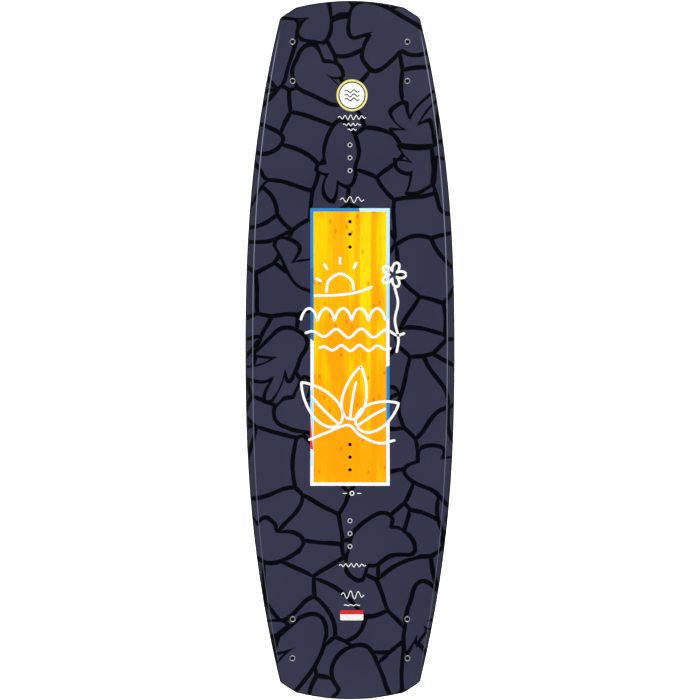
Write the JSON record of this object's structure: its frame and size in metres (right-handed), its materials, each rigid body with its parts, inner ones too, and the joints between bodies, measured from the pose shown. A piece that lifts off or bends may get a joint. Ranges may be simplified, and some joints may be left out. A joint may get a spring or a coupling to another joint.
{
  "type": "wakeboard",
  "caption": "Twin-tip wakeboard standing upright, with a printed deck and base, a wood window, binding inserts and bolt-on fins.",
  "frame": {"origin": "the middle of the board's box", "axes": "+Z along the board from the tail to the nose, -Y out of the deck, +X to the right as seen from the deck"},
  "size_m": [0.426, 0.076, 1.38],
  "materials": {
    "printed_topsheet": "satin print, slate with black lines",
    "bamboo": "lacquered bamboo",
    "glass_laminate": "glass cloth in resin",
    "wood_core": "sawn and sanded",
    "printed_base": "gloss print in many colours",
    "moulded_rail": "moulded, black",
    "insert_strip": "machined",
    "insert_steel": "turned",
    "fin_nylon": "moulded, black",
    "screw_steel": "bright",
    "washer_steel": "pressed",
    "insert_brass": "knurled"
  },
  "bodies": {
    "root": {"topsheet": "printed_topsheet", "bamboo_panel": "bamboo", "top_laminate": "glass_laminate", "base_laminate": "glass_laminate", "wood_core": "wood_core", "base_sheet": "printed_base", "perimeter_rail": "moulded_rail", "nose_insert_strip": "insert_strip", "nose_outer_inserts": "insert_steel", "nose_inner_inserts": "insert_steel", "nose_left_fin": "fin_nylon", "nose_left_fin_screws": "screw_steel", "nose_left_fin_washers": "washer_steel", "nose_left_fin_inserts": "insert_brass", "nose_right_fin": "fin_nylon", "nose_right_fin_screws": "screw_steel", "nose_right_fin_washers": "washer_steel", "nose_right_fin_inserts": "insert_brass", "tail_insert_strip": "insert_strip", "tail_outer_inserts": "insert_steel", "tail_inner_inserts": "insert_steel", "tail_left_fin": "fin_nylon", "tail_left_fin_screws": "screw_steel", "tail_left_fin_washers": "washer_steel", "tail_left_fin_inserts": "insert_brass", "tail_right_fin": "fin_nylon", "tail_right_fin_screws": "screw_steel", "tail_right_fin_washers": "washer_steel", "tail_right_fin_inserts": "insert_brass"}
  },
  "joints": []
}
